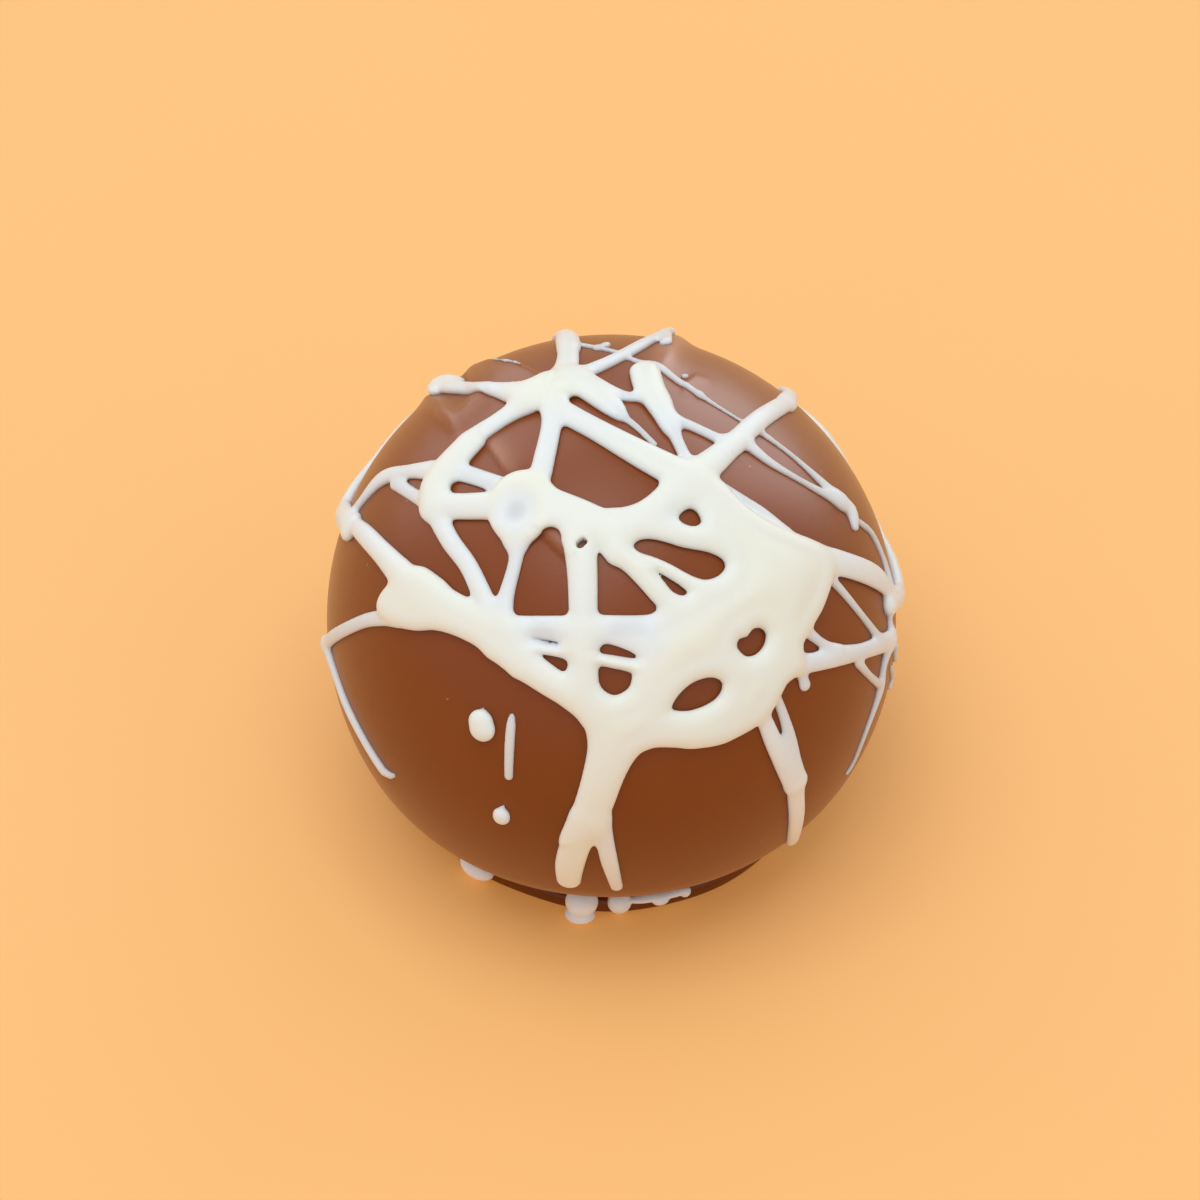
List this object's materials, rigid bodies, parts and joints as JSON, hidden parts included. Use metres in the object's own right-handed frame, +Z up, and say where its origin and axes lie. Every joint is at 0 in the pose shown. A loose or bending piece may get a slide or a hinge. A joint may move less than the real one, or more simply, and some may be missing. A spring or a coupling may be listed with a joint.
{
  "type": "chocolate truffle",
  "caption": "Round milk-chocolate truffle on its own small foot, with a web of white chocolate drizzled over the top and running down the front.",
  "frame": {"origin": "middle of the foot's flat underside", "axes": "+Z up, -Y is the front, where the drizzle's longest run comes down, +X to the right seen from the front"},
  "size_m": [0.0328, 0.0331, 0.0291],
  "materials": {
    "milk_chocolate": "satin milk-chocolate coat, smooth, with a few fine specks and scuffs",
    "white_chocolate": "smooth cream-white drizzle, pinkish and slightly see-through where it is thin"
  },
  "bodies": {
    "root": {"truffle": "milk_chocolate"}
  },
  "joints": []
}
